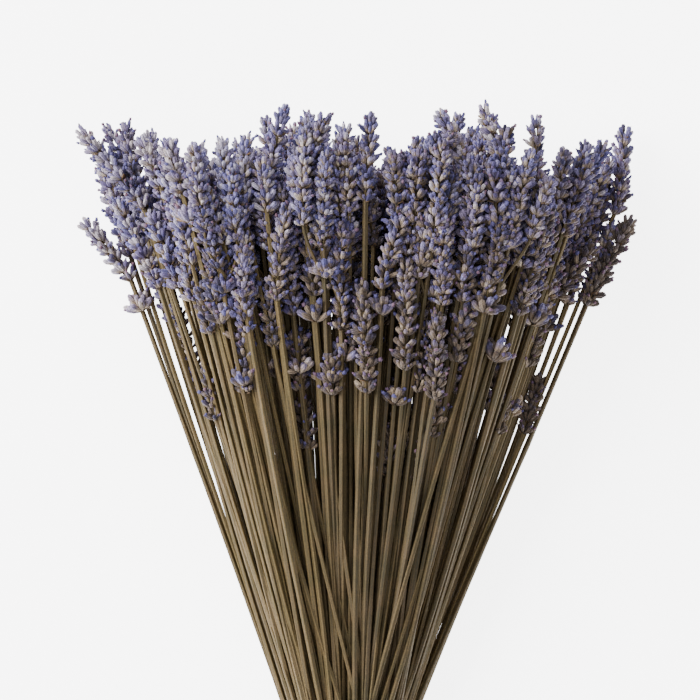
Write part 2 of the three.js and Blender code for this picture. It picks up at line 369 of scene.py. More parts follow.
def dome(across):
    """Height of the bunch's upper side at the crown, on one ray of the fan."""
    return max(DOME_LOWEST, DOME_TOP - DOME_FALL * max(0, abs(across) - DOME_FLAT))


def front_spray(index, foot, tip, sink, tone):
    """A spray on the upper side, from its place at the waist to a head that looks as given."""
    draw = random.Random(FRONT_KEY + index)
    lift = held((LIFT_FROM - tip[1]) * LIFT, *LIFT_LIMITS)
    crown_height = DOME_TOP
    for _step in range(3):
        foot_height = mix(WAIST_TOP, crown_height, fan_share(foot[1] - SHIFT.y))
        foot_x, foot_y = as_seen(*foot, foot_height)
        across = fan_across(foot_x, foot_y)
        crown_height = max(DOME_LOWEST, dome(across) - sink + lift)
    crosses = draw.random() < CROSSING_SHARE
    side = mix(*WAIST_SIDES, across / WAIST_CELLS + 0.5) + draw.gauss(0, WAIST_SHUFFLE)
    if crosses:
        side += draw.choice((-1, 1)) * draw.uniform(*CROSSING_STEP)
    side = held(side, *WAIST_SIDES)
    beyond = max(0, abs(side - WAIST_MIDDLE) - SHOULDER_CELLS * WAIST_PITCH)
    layer = WAIST_LAYERS - 1 if crosses else index % WAIST_LAYERS
    rise = WAIST_TOP + WAIST_LAYER_RISE * layer - beyond * SHOULDER_SLOPE / WAIST_PITCH
    rise = max(SHOULDER_LOWEST, rise)
    spray = own_spray(
        Vector((side + (foot_x - side) / fan_share(foot_y), crown_height)), Vector((side, rise)),
        Vector(((side - WAIST_MIDDLE) * CUT_SPREAD + WAIST_MIDDLE, rise * CUT_SPREAD)),
        start=CUT_END + CUT_RAGGED * draw.random(), radius=mix(*FRONT_RADIUS, draw.random()),
        foot=foot_y, key=FRONT_KEY + index, tone=tone, sag=0 if crosses else FRONT_SAG * (index % 3),
    )
    tip_x, tip_y = as_seen(*tip, mix(rise, crown_height, fan_share(tip[1] - SHIFT.y)))
    straight = stem_point(spray["cell"], spray, tip_y)
    nod = Vector((tip_x - straight.x, 0, draw.uniform(-FRONT_NOD, FRONT_NOD)))
    return {**spray, "tip": tip_y, "nod": nod}


def front_sprays():
    """The sprays of the upper side: heads, deep heads, then stalks with a lone whorl."""
    heads = FRONT_HEADS + DEEP_HEADS
    sprays = [front_spray(index, h[:2], h[2:4], h[4], h[5]) for index, h in enumerate(heads)]
    for across, along, sink in FRONT_WHORLS:
        foot_x = across * mix(*WHORL_REACH, chance(int(across * 2) + 500, 1))
        tip = (foot_x * WHORL_TIP_REACH, min(along + WHORL_TO_TIP, WHORL_TIP_LIMIT))
        spray = front_spray(len(sprays), (foot_x, along + WHORL_TO_FOOT), tip, sink, 0)
        sprays.append({**spray, "lone": along - SHIFT.y})
    return sprays


# ------------------------------------------------------------------ sprays inside the bunch, mm

# Rows of shorter sprays that lie between two rows of bundles: height, how many, how far back.
BETWEEN_ROWS = [(23, 13, 6), (48, 12, 8), (72, 11, 10)]
BETWEEN_PITCH = 18.5
BETWEEN_START = (12, 30)
BETWEEN_TIPS = (0, 30)
BETWEEN_HEAD = (32, 46)
BETWEEN_RADIUS = (5.4, 6.4)
BETWEEN_TONES = (-2, -1, -1, 0)
# How far they scatter: across and up at the crown, and across at the waist.
BETWEEN_SCATTER = (6, 4, 3)

# Stalks that close a gap, each through two places as it looks from above, and how high it lies.
INNER_STALKS = [
    ((-15.4, 20.9), (-10.6, -68), 30), ((-17.8, 44), (-15, 0), 26), ((64.5, 54), (55.8, 16), 26),
]
INNER_START = 5
INNER_RISE = 0.1
INNER_HEAD = (104, 140)
INNER_RADIUS = 5.8
INNER_TONE = -2

# The top row leaves one place empty, under the notch in the crown; four sprays lie in it.
NOTCH_CELL = {
    "cut": Vector((-1.46, 16.1)), "waist": Vector((-1.75, 14.3)), "crown": Vector((15, 66)),
}
NOTCH_TIPS = (112, 128)
NOTCH_HEAD = (32, 42)


def between_sprays():
    """Sprays whose stalks end inside the bunch, a little above its waist."""
    sprays = []
    for row, (height, count, drop) in enumerate(BETWEEN_ROWS):
        for place in range(count):
            key = BETWEEN_KEY + row * 100 + place
            draw = random.Random(key)
            side, rise, waist_side = (draw.uniform(-s, s) for s in BETWEEN_SCATTER)
            across = (place - (count - 1) / 2) * BETWEEN_PITCH / CROWN_PITCH
            crown = Vector((across * CROWN_PITCH + side, height + rise))
            waist_side += across * WAIST_PITCH + WAIST_MIDDLE
            waist = Vector((waist_side, WAIST_FLOOR + (row + 0.5) * WAIST_RISE))
            tip = tip_line_at(crown.x) - drop - draw.uniform(*BETWEEN_TIPS)
            sprays.append(own_spray(
                crown, waist, waist, key=key, tip=tip, start=WAIST + draw.uniform(*BETWEEN_START),
                radius=draw.uniform(*BETWEEN_RADIUS), foot=tip - draw.uniform(*BETWEEN_HEAD),
                tone=draw.choice(BETWEEN_TONES),
            ))
    return sprays


def inner_stalks():
    """Stalks inside the bunch that lie where the surface would show through it."""
    sprays = []
    for index, (upper, lower, height) in enumerate(INNER_STALKS):
        ends = []
        for x, y in (upper, lower):
            ends.append(as_seen(x, y, height * (y - SHIFT.y - CUT_END) / (CROWN - CUT_END)))
        (x1, y1), (x2, y2) = ends
        slope = (x1 - x2) / (y1 - y2)
        waist = Vector((x2 + slope * (WAIST - y2), WAIST_FLOOR + height * INNER_RISE))
        sprays.append(own_spray(
            Vector((x2 + slope * (CROWN - y2), height)), waist, waist, key=INNER_KEY + index,
            start=WAIST + INNER_START, foot=INNER_HEAD[0], tip=INNER_HEAD[1],
            radius=INNER_RADIUS, tone=INNER_TONE,
        ))
    return sprays


def notch_sprays():
    """Sprays through the empty place of the top row, with heads deep under the notch."""
    sprays = []
    for index, (side, rise) in enumerate(SPRAYS):
        draw = random.Random(NOTCH_KEY + index)
        tip = draw.uniform(*NOTCH_TIPS)
        sprays.append({
            "cell": NOTCH_CELL, "key": NOTCH_KEY + index, "crown": Vector((side, rise)),
            "start": CUT_END + CUT_RAGGED * draw.random(), "radius": INNER_RADIUS,
            "tip": tip, "foot": tip - draw.uniform(*NOTCH_HEAD), "tone": INNER_TONE,
            **corner_places(side, rise),
        })
    return sprays


# ------------------------------------------------------------------ side shoots, mm

SHOOT_SHARE = 0.62
SHOOT_SIDE = (7.5, 11)
SHOOT_RISE = 3.5
SHOOT_LENGTH = (22, 32)
SHOOT_SHIFT = (-10, 16)
SHOOT_FOOT = 108
SHOOT_HEAD = (30, 42)
SHOOT_DROP = (0, 7)
SHOOT_RADIUS = (5.4, 6.3)
SHOOT_LOWEST = 6.5
# Past this far across, shoots only grow towards the middle, so that the edge stays open.
OPEN_EDGE = 88

# How a head nods, mm: across, and up or down. Its tone, where the layout gives none.
NOD_ACROSS = 3.2
NOD_UP = (-2.5, 1.5)
TONE_DRAWS = (-1, 0, 0, 1)

# The lone head at the left edge leans out from its stalk more than its solid does.
LEANING_KEY = 19
LEANING_HEAD = {
    "crown": Vector((-11, 3)), "nod": Vector((-12, 0, 0)), "tip": 120, "foot": 93, "lone": 80,
    "tone": 1, "radius": 6.7,
}


def side_shoots(cell, sprays):
    """Shorter sprays that branch off the stalks of a bundle and fill it between its heads."""
    shoots = []
    for spray in sprays:
        key = spray["key"] + SHOOT_KEY
        draw = random.Random(key)
        if draw.random() > SHOOT_SHARE or spray["start"] > WAIST:
            continue
        side = draw.choice((-1, 1)) * draw.uniform(*SHOOT_SIDE)
        if abs(cell["crown"].x) > OPEN_EDGE:
            side = -math.copysign(side, cell["crown"].x)
        offset = Vector((side, draw.uniform(-SHOOT_RISE, SHOOT_RISE)))
        offset.y = max(offset.y, SHOOT_LOWEST - (cell["crown"].y + spray["crown"].y))
        foot = max(spray["foot"] + draw.uniform(*SHOOT_SHIFT), SHOOT_FOOT)
        tip = foot + draw.uniform(*SHOOT_HEAD)
        line = tip_line_at(cell["crown"].x + spray["crown"].x + side)
        tip = min(tip, line - cell["drop"] - draw.uniform(*SHOOT_DROP))
        shoots.append({
            "cell": cell, "crown": spray["crown"] + offset, "waist": spray["waist"] + offset,
            "cut": spray["cut"], "start": foot - draw.uniform(*SHOOT_LENGTH), "foot": foot,
            "tip": tip, "radius": draw.uniform(*SHOOT_RADIUS), "key": key, "offset": offset,
            "tone": draw.choice(TONE_DRAWS),
        })
    return shoots


def settle(spray):
    """Fixes where a spray's head starts, where it would end if straight, and how it nods."""
    draw = random.Random(spray["key"] + NOD_DRAWS)
    spray["foot_at"] = stem_point(spray["cell"], spray, spray["foot"])
    spray["straight_tip"] = stem_point(spray["cell"], spray, spray["tip"])
    spray.setdefault("nod", Vector((draw.gauss(0, NOD_ACROSS), 0, draw.uniform(*NOD_UP))))
    spray.setdefault("tone", draw.choice(TONE_DRAWS))


def whole_bunch():
    """Every bundle with all its sprays: its own, their side shoots and those laid round them."""
    bundles = []
    for cell, sprays in BUNDLES:
        for spray in sprays:
            if spray["key"] == LEANING_KEY:
                spray.update(LEANING_HEAD)
        bundles.append((cell, sprays + side_shoots(cell, sprays)))
    for spray in front_sprays() + between_sprays() + inner_stalks() + notch_sprays():
        crown = spray["cell"]["crown"]
        nearest = min(bundles, key=lambda bundle: (bundle[0]["crown"] - crown).length)
        nearest[1].append(spray)
    for _cell, sprays in bundles:
        for spray in sprays:
            settle(spray)
    return bundles


# ------------------------------------------------------------------ colour and node helpers


def linear(hex_code):
    """An sRGB hex colour as linear red, green and blue."""
    values = [int(hex_code[i:i + 2], 16) / 255 for i in (1, 3, 5)]
    return [v / 12.92 if v <= 0.04045 else ((v + 0.055) / 1.055) ** 2.4 for v in values]


def add_node(tree, kind, inputs=None, stops=(), **settings):
    """Adds a node with its settings, a ramp's stops, and its inputs' values or links.

    An input is named by its identifier, name or number. One that is given a node is linked to
    that node's first output in use. A stop's colour is a hex code or is linear already.
    """
    node = tree.nodes.new(kind)
    for name, value in settings.items():
        setattr(node, name, value)
    for index, (position, colour) in enumerate(stops):
        elements = node.color_ramp.elements
        element = elements[index] if index < len(elements) else elements.new(position)
        element.position = position
        element.color = (*(linear(colour) if isinstance(colour, str) else colour), 1)
    for key, value in (inputs or {}).items():
        socket = next((s for s in node.inputs if s.identifier == key), None) or node.inputs[key]
        if isinstance(value, bpy.types.Node):
            value = next(output for output in value.outputs if output.enabled)
        if isinstance(value, bpy.types.NodeSocket):
            tree.links.new(value, socket)
        else:
            socket.default_value = value
    return node


# The inputs of a Mix node that mixes colours, by number.
FACTOR, FIRST, SECOND = 0, 6, 7


def new_material(name, *shades):
    """A material, its tree, the place on the object, and the shades that its points carry."""
    material = bpy.data.materials.new(name)
    material.use_nodes = True
    tree = material.node_tree
    tree.nodes.clear()
    place = add_node(tree, "ShaderNodeTexCoord").outputs["Object"]
    carried = [add_node(tree, "ShaderNodeAttribute", attribute_name=shade) for shade in shades]
    return material, tree, place, *[node.outputs["Fac"] for node in carried]


def finished(material, inputs):
    """A material whose tree now ends in a shader with these inputs."""
    shader = add_node(material.node_tree, "ShaderNodeBsdfPrincipled", inputs)
    add_node(material.node_tree, "ShaderNodeOutputMaterial", {"Surface": shader})
    return material


def flecked(tree, place, colour, width, shades):
    """A colour with flecks about width mm across, from darker to lighter by the two shades."""
    noise = add_node(tree, "ShaderNodeTexNoise", {
        "Vector": place, "Scale": 1 / (width * MM), "Detail": 2.0,
    })
    shade = add_node(tree, "ShaderNodeMapRange", {
        "Value": noise, "From Min": 0.36, "From Max": 0.66, "To Min": shades[0], "To Max": shades[1],
    })
    return add_node(tree, "ShaderNodeVectorMath", {0: colour, 1: shade}, operation="MULTIPLY")


# ------------------------------------------------------------------ materials


def dried_stalk_material(rib_colour):
    """Dried square lavender stalk: dull straw to olive, darker in its grooves by painted shade,
    streaked.
    """
    material, tree, place, tint, groove = new_material("dried_lavender_stalk", "tint", "groove")
    # streaks about 0.4 mm wide and 10 mm long, along the stalks
    stretched = add_node(tree, "ShaderNodeMapping", {"Vector": place, "Scale": (2.4, 0.1, 2.4)})
    streak = add_node(tree, "ShaderNodeTexNoise", {
        "Vector": stretched, "Scale": 1000.0, "Detail": 3.0, "Roughness": 0.6,
    })
    # blotches about 10 mm long, where the sun has bleached a stalk
    patch = add_node(tree, "ShaderNodeTexNoise", {"Vector": place, "Scale": 90.0, "Detail": 2.0})
    ridge = add_node(tree, "ShaderNodeValToRGB", {"Fac": tint}, [
        (0.0, "#3d2e16"), (0.35, "#4a3a1e"), (0.7, rib_colour), (1.0, "#6d5a34"),
    ])
    # painted shade: the colour in the grooves, darker than on the ridges
    groove_shade_colour = add_node(tree, "ShaderNodeValToRGB", {"Fac": tint}, [
        (0.0, "#21170b"), (0.5, "#342812"), (1.0, "#47391d"),
    ])
    faded = add_node(tree, "ShaderNodeValToRGB", {"Fac": patch}, [
        (0.35, "#3e3c1b"), (0.65, "#5e4d2f"),
    ])
    # painted shade in the grooves, with the streaks' own darker colour mixed in
    depth = add_node(tree, "ShaderNodeMath", {0: streak, 1: 0.6, 2: -0.3}, operation="MULTIPLY_ADD")
    groove_shade_and_streak = add_node(tree, "ShaderNodeMath", {0: groove, 1: depth}, operation="ADD", use_clamp=True)
    ribbed = add_node(tree, "ShaderNodeMix", {
        FACTOR: groove_shade_and_streak, FIRST: ridge, SECOND: groove_shade_colour,
    }, data_type="RGBA")
    coloured = add_node(tree, "ShaderNodeMix", {
        FACTOR: 0.3, FIRST: ribbed, SECOND: faded,
    }, data_type="RGBA")
    bump = add_node(tree, "ShaderNodeBump", {
        "Height": streak, "Strength": 0.6, "Distance": 0.25 * MM,
    })
    # the flecks are dust and torn skin
    return finished(material, {
        "Base Color": flecked(tree, place, coloured, 0.5, (0.64, 1.36)),
        "Roughness": 0.7, "IOR": 1.45, "Normal": bump,
    })


# Thirteen ribs on a real calyx, drawn as six so that they show, in painted shade and painted highlight
# as well as a bump.
CALYX_RIBS = 6


def downy_calyx_material(mauve_colour, blue_colour):
    """Dried calyx: felted and ribbed, slate violet towards the mouth, buff at the foot."""
    material, tree, place, tint, along, bloom, age = new_material(
        "dried_lavender_calyx", "tint", "along", "bloom", "age")
    # some heads are bluer and some more mauve, over about 15 mm
    region = add_node(tree, "ShaderNodeTexNoise", {"Vector": place, "Scale": 65.0, "Detail": 1.0})
    hue = add_node(tree, "ShaderNodeMapRange", {
        "Value": region, "From Min": 0.38, "From Max": 0.62,
    })
    mauve = add_node(tree, "ShaderNodeValToRGB", {"Fac": tint}, [
        (0.0, "#271e3e"), (0.25, "#41375d"), (0.5, mauve_colour), (0.75, "#7f7491"), (1.0, "#a0979d"),
    ])
    blue = add_node(tree, "ShaderNodeValToRGB", {"Fac": tint}, [
        (0.0, "#201e42"), (0.25, "#383663"), (0.5, blue_colour), (0.75, "#736e98"), (1.0, "#9690a4"),
    ])
    violet = add_node(tree, "ShaderNodeMix", {
        FACTOR: hue, FIRST: mauve, SECOND: blue,
    }, data_type="RGBA")
    buff = add_node(tree, "ShaderNodeValToRGB", {"Fac": tint}, [
        (0.0, "#524334"), (0.5, "#8b7864"), (1.0, "#b9a890"),
    ])
    # some calyces are violet nearly down to the foot, others only at the mouth, where the
    # colours meet in mottling about 1 mm across
    mottle = add_node(tree, "ShaderNodeTexNoise", {"Vector": place, "Scale": 900.0, "Detail": 3.0})
    jitter = add_node(tree, "ShaderNodeMath", {0: mottle, 1: 0.6, 2: along}, operation="MULTIPLY_ADD")
    reach = add_node(tree, "ShaderNodeMath", {0: bloom, 1: 0.75, 2: jitter}, operation="MULTIPLY_ADD")
    blend = add_node(tree, "ShaderNodeMapRange", {
        "Value": reach, "From Min": 0.92, "From Max": 1.37,
    })
    body = add_node(tree, "ShaderNodeMix", {
        FACTOR: blend, FIRST: buff, SECOND: violet,
    }, data_type="RGBA")
    faded = add_node(tree, "ShaderNodeValToRGB", {"Fac": tint}, [(0.0, "#4f443b"), (1.0, "#94836f")])
    aged = add_node(tree, "ShaderNodeMix", {
        FACTOR: age, FIRST: body, SECOND: faded,
    }, data_type="RGBA")
    wrap = add_node(tree, "ShaderNodeUVMap", uv_map="wrap")
    around = add_node(tree, "ShaderNodeSeparateXYZ", {"Vector": wrap})
    turn = add_node(tree, "ShaderNodeMath", {
        0: around, 1: TURN * CALYX_RIBS,
    }, operation="MULTIPLY")
    ribs = add_node(tree, "ShaderNodeMath", {0: turn}, operation="SINE")
    # painted shade between the ribs and painted highlight on them, in step with the bump
    shade = add_node(tree, "ShaderNodeMapRange", {
        "Value": ribs, "From Min": -1.0, "From Max": 1.0, "To Min": 0.62, "To Max": 1.12,
    })
    ribbed = add_node(tree, "ShaderNodeVectorMath", {0: aged, 1: shade}, operation="MULTIPLY")
    bump = add_node(tree, "ShaderNodeBump", {"Height": ribs, "Strength": 0.6, "Distance": 0.12 * MM})
    # the flecks are the felt's short pale hairs, as coarse as they need to be to show
    return finished(material, {
        "Base Color": flecked(tree, place, ribbed, 0.42, (0.5, 1.52)),
        "Roughness": 0.85, "IOR": 1.4, "Normal": bump,
        "Sheen Weight": 0.15, "Sheen Roughness": 0.5, "Sheen Tint": (*linear("#c5c3d2"), 1),
    })


def dry_skin_material(name, grain, stops, mottling):
    """Thin dry plant skin: a ramp of its colours, with veins or creases of one more colour."""
    material, tree, place, tint = new_material(name, "tint")
    veins = add_node(tree, "ShaderNodeTexNoise", {"Vector": place, "Scale": grain, "Detail": 2.0})
    colour = add_node(tree, "ShaderNodeValToRGB", {"Fac": tint}, stops)
    veined = add_node(tree, "ShaderNodeMix", {
        FACTOR: veins, FIRST: colour, SECOND: (*linear(mottling), 1),
    }, data_type="RGBA")
    return finished(material, {"Base Color": veined, "Roughness": 0.8, "IOR": 1.4})


def papery_bract_material():
    """Dry bract under a whorl: thin brown paper, rust at its edge."""
    return dry_skin_material("dried_lavender_bract", 1400.0, [
        (0.0, "#30211a"), (0.5, "#523a29"), (0.85, "#745439"), (1.0, "#8c7b60"),
    ], "#5d4c36")


def withered_corolla_material():
    """Withered corolla: shrunk petals, dark blue violet, some of them rust brown."""
    return dry_skin_material("withered_lavender_corolla", 1600.0, [
        (0.0, "#704731"), (0.2, "#593f3f"), (0.34, "#37355f"), (0.75, "#45426d"), (1.0, "#605d89"),
    ], "#49436a")


def surface_material():
    """Opal acrylic, matt and white, lit a little from behind, that the bunch lies on."""
    material, tree, place = new_material("opal_acrylic_surface")
    cloud = add_node(tree, "ShaderNodeTexNoise", {"Vector": place, "Scale": 3.0, "Detail": 2.0})
    colour = add_node(tree, "ShaderNodeValToRGB", {"Fac": cloud}, [(0.3, "#f7f7f6"), (0.7, "#fbfbfb")])
    return finished(material, {
        "Base Color": colour, "Roughness": 0.9,
        "Emission Color": (1, 1, 1, 1), "Emission Strength": 4.8,
    })


# ------------------------------------------------------------------ repeated shapes


def mesh_object(name, points, faces, attributes=None, edges=()):
    """An object of a mesh, with float or vector attributes on its points."""
    mesh = bpy.data.meshes.new(name)
    mesh.from_pydata([tuple(p) for p in points], list(edges), faces)
    for key, values in (attributes or {}).items():
        vector = isinstance(values[0], Vector)
        layer = mesh.attributes.new(key, "FLOAT_VECTOR" if vector else "FLOAT", "POINT")
        flat = [part for value in values for part in value] if vector else values
        layer.data.foreach_set("vector" if vector else "value", flat)
    mesh.update()
    mesh.shade_smooth()
    piece = bpy.data.objects.new(name, mesh)
    bpy.context.scene.collection.objects.link(piece)
    return piece


# The rim of a mouth, from so far along, stands up by this share of the wobble.
RIM_FROM = 0.9
RIM_SHARE = 0.3


def revolved(name, profile, sides, wobble, lean):
    """A closed shape of rings, with how far along it is and a wrap map for its ribs.

    profile is (height, radius) from foot to top, for a length of 1; the ends close on the axis.
    Every other side stands out by wobble, and the shape leans over towards its top.
    """
    points = [Vector((0, 0, profile[0][0]))]
    for height, radius in profile[1:-1]:
        for side in range(sides):
            angle = TURN * side / sides
            reach = radius * (1 + wobble * (side % 2))
            points.append(Vector((
                reach * math.cos(angle) + lean * height * height,
                reach * math.sin(angle),
                height + wobble * RIM_SHARE * (side % 2) * (height > RIM_FROM),
            )))
    points.append(Vector((lean * profile[-1][0] ** 2, 0, profile[-1][0])))
    heights = [height for height, _radius in profile[1:-1] for _side in range(sides)]
    last_ring = len(profile) - 2

    def number(ring, side):
        """A point's number; the first and the last stand for a ring of their own."""
        if 0 < ring <= last_ring:
            return 1 + (ring - 1) * sides + side % sides
        return 0 if ring == 0 else len(points) - 1

    faces = []
    around = []
    for ring in range(last_ring + 1):
        for side in range(sides):
            corners = [(ring, side), (ring, side + 1), (ring + 1, side + 1), (ring + 1, side)]
            if ring == 0:
                corners[:2] = [(0, side + 0.5)]
            elif ring == last_ring:
                corners[2:] = [(ring + 1, side + 0.5)]
            faces.append([number(*corner) for corner in corners])
            around.extend((s / sides, max(r - 1, 0) / last_ring) for r, s in corners)
    piece = mesh_object(name, points, faces, {"along": [0.0, *heights, 1.0]})
    wrap = piece.data.uv_layers.new(name="wrap")
    for loop, place in enumerate(around):
        wrap.data[loop].uv = place
    return piece


# A calyx of length 1: narrow foot, swollen above the middle, rounded in to a small hollow mouth.
CALYX_PROFILE = [
    (0.0, 0.0), (0.03, 0.08), (0.44, 0.185), (0.86, 0.18), (1.0, 0.09), (0.92, 0.0),
]

# A withered corolla of length 1: a crumpled bud that stands in the mouth of a calyx.
COROLLA_PROFILE = [(0.0, 0.0), (0.45, 0.33), (0.95, 0.2), (0.86, 0.0)]

# How many sides both have.
FLOWER_SIDES = 5

# A bract of length 1: half outline (height, half width), cupped round the whorl's foot.
BRACT_OUTLINE = [(0.0, 0.14), (0.45, 0.36), (1.0, 0.04)]
BRACT_CUP = 0.16
BRACT_CURL = 0.12
BRACT_THICKNESS = 0.05


def calyx_shape():
    return revolved("calyx_shape", CALYX_PROFILE, FLOWER_SIDES, wobble=0.06, lean=-0.05)


def corolla_shape():
    return revolved("corolla_shape", COROLLA_PROFILE, FLOWER_SIDES, wobble=0.5, lean=0.1)


def bract_shape():
    """A thin cupped scale that stands along Z and bellies towards -X."""
    points = []
    for skin in (0.0, BRACT_THICKNESS):
        for height, half in BRACT_OUTLINE:
            for share in (-1, 0, 1):
                cup = BRACT_CUP * (share * share - 1) + BRACT_CURL * height * height
                points.append(Vector((cup - skin, half * share, height)))
    back = len(BRACT_OUTLINE) * 3
    faces = []
    for level in range(len(BRACT_OUTLINE) - 1):
        left = level * 3
        right = left + 2
        for a in (left, left + 1):
            faces.append((a, a + 3, a + 4, a + 1))
            faces.append((back + a, back + a + 1, back + a + 4, back + a + 3))
        faces.append((left, back + left, back + left + 3, left + 3))
        faces.append((right, right + 3, back + right + 3, back + right))
    for low in (0, 1):
        high = back - 3 + low
        faces.append((low, low + 1, back + low + 1, back + low))
        faces.append((high, back + high, back + high + 1, high + 1))
    return mesh_object("bract_shape", points, faces)


# ------------------------------------------------------------------ geometry node trees


def new_tree(name, inputs):
    """A tree with these named inputs, each of a kind, and the sockets that they come in by."""
    tree = bpy.data.node_groups.new(name, "GeometryNodeTree")
    for socket, kind in {"Geometry": "Geometry", **inputs, "Material": "Material"}.items():
        tree.interface.new_socket(socket, in_out="INPUT", socket_type="NodeSocket" + kind)
    tree.interface.new_socket("Geometry", in_out="OUTPUT", socket_type="NodeSocketGeometry")
    return tree, add_node(tree, "NodeGroupInput").outputs


def end_tree(tree, given, geometry):
    """Ends a tree: makes its geometry real and gives it its material."""
    real = add_node(tree, "GeometryNodeRealizeInstances", {"Geometry": geometry})
    painted = add_node(tree, "GeometryNodeSetMaterial", {
        "Geometry": real, "Material": given["Material"],
    })
    add_node(tree, "NodeGroupOutput", {"Geometry": painted})
    return tree


def scatter_tree():
    """Sets a shape on every seat, turned to its aim, spun at random and scaled to its size."""
    tree, given = new_tree("lavender_scatter", {
        "Shape": "Object", "Length": "Float", "Spin": "Float", "Seed": "Int",
    })
    shape = add_node(tree, "GeometryNodeObjectInfo", {"Object": given["Shape"]})
    aim, outward, size = [
        add_node(tree, "GeometryNodeInputNamedAttribute", {"Name": name}, data_type=kind)
        for name, kind in (("aim", "FLOAT_VECTOR"), ("outward", "FLOAT_VECTOR"), ("size", "FLOAT"))
    ]
    facing = add_node(tree, "FunctionNodeAlignRotationToVector", {"Vector": aim}, axis="Z")
    turned = add_node(tree, "FunctionNodeAlignRotationToVector", {
        "Rotation": facing, "Vector": outward,
    }, axis="X", pivot_axis="Z")
    spin = add_node(tree, "FunctionNodeRandomValue", {
        "Max_001": given["Spin"], "Seed": given["Seed"],
    }, data_type="FLOAT")
    about = add_node(tree, "FunctionNodeAxisAngleToRotation", {"Axis": (0, 0, 1), "Angle": spin})
    spun = add_node(tree, "FunctionNodeRotateRotation", {
        "Rotation": turned, "Rotate By": about,
    }, rotation_space="LOCAL")
    scale = add_node(tree, "ShaderNodeMath", {0: size, 1: given["Length"]}, operation="MULTIPLY")
    seated = add_node(tree, "GeometryNodeInstanceOnPoints", {
        "Points": given["Geometry"], "Instance": shape.outputs["Geometry"],
        "Rotation": spun, "Scale": scale,
    })
    return end_tree(tree, given, seated)


def sweep_tree():
    """Sweeps a section along every path, scaled by the path's own thickness."""
    tree, given = new_tree("lavender_sweep", {"Section": "Object"})
    section = add_node(tree, "GeometryNodeObjectInfo", {"Object": given["Section"]})
    outline = add_node(tree, "GeometryNodeMeshToCurve", {"Mesh": section.outputs["Geometry"]})
    paths = add_node(tree, "GeometryNodeMeshToCurve", {"Mesh": given["Geometry"]})
    thickness, roll = [
        add_node(tree, "GeometryNodeInputNamedAttribute", {"Name": name}, data_type="FLOAT")
        for name in ("thickness", "roll")
    ]
    rolled = add_node(tree, "GeometryNodeSetCurveTilt", {"Curve": paths, "Tilt": roll})
    swept = add_node(tree, "GeometryNodeCurveToMesh", {
        "Curve": rolled, "Profile Curve": outline, "Scale": thickness, "Fill Caps": True,
    })
    smooth = add_node(tree, "GeometryNodeSetShadeSmooth", {"Geometry": swept})
    return end_tree(tree, given, smooth)


# What would pass through the surface is pressed flat on it, this high above it, mm.
PRESSED_FLAT = 0.05


def run_tree(source, tree, name, inputs):
    """The plain mesh object that a tree makes of a source, which it then removes."""
    modifier = source.modifiers.new("build", "NODES")
    modifier.node_group = tree
    identifiers = {item.name: item.identifier for item in tree.interface.items_tree}
    for key, value in inputs.items():
        modifier[identifiers[key]] = value
    source.update_tag()
    graph = bpy.context.evaluated_depsgraph_get()
    mesh = bpy.data.meshes.new_from_object(source.evaluated_get(graph))
    mesh.name = name
    for vertex in mesh.vertices:
        vertex.co.z = max(vertex.co.z, PRESSED_FLAT * MM)
    source.modifiers.remove(modifier)
    bpy.data.objects.remove(source)
    piece = bpy.data.objects.new(name, mesh)
    bpy.context.scene.collection.objects.link(piece)
    return piece


def remove_object(piece):
    mesh = piece.data
    bpy.data.objects.remove(piece)
    bpy.data.meshes.remove(mesh)


# ------------------------------------------------------------------ stalks

WAIST_ROUND = (18, 34)
PATH_STEPS = 20
SHOOT_STEPS = 8
STALK_WANDER = 1.5
STALK_WAVE = 0.4
STALK_WIDTH = 2.08
STALK_WIDTHS = (0.86, 1.14)
SHOOT_WIDTH = 0.7
# Where a stalk's two nodes are, along, and how much and over what length they swell it.
NODE_PLACES = ((-60, -10), (10, 60))
NODE_SWELL = 0.14
NODE_LENGTH = 2.5
# How light the stalks on the upper side and those inside are: the mean, how much painted shade takes
# off across the middle of the bunch, and the spread. The stalks inside are darker by painted shade.
UPPER_STALKS = (0.66, 0.38, 0.18)
INSIDE_STALKS = (0.56, 0.36, 0.16)
# Painted light and shade: the stalks are lighter at the left, where the light falls, darker by painted
# shade from here across, over so many mm, and lighter again by painted light at the right edge.
SHADE_FROM = -75
SHADE_OVER = 55
LIT_EDGE_BEYOND = 128
RACHIS_STEPS = 5
RACHIS_SHARE = 0.8
RACHIS_WIDTHS = (0.8, 0.5)
# Half of the section's height, for a width of 1, and the gap that is left to the surface.
HALF_SECTION = 0.54
FLOOR_GAP = 0.15


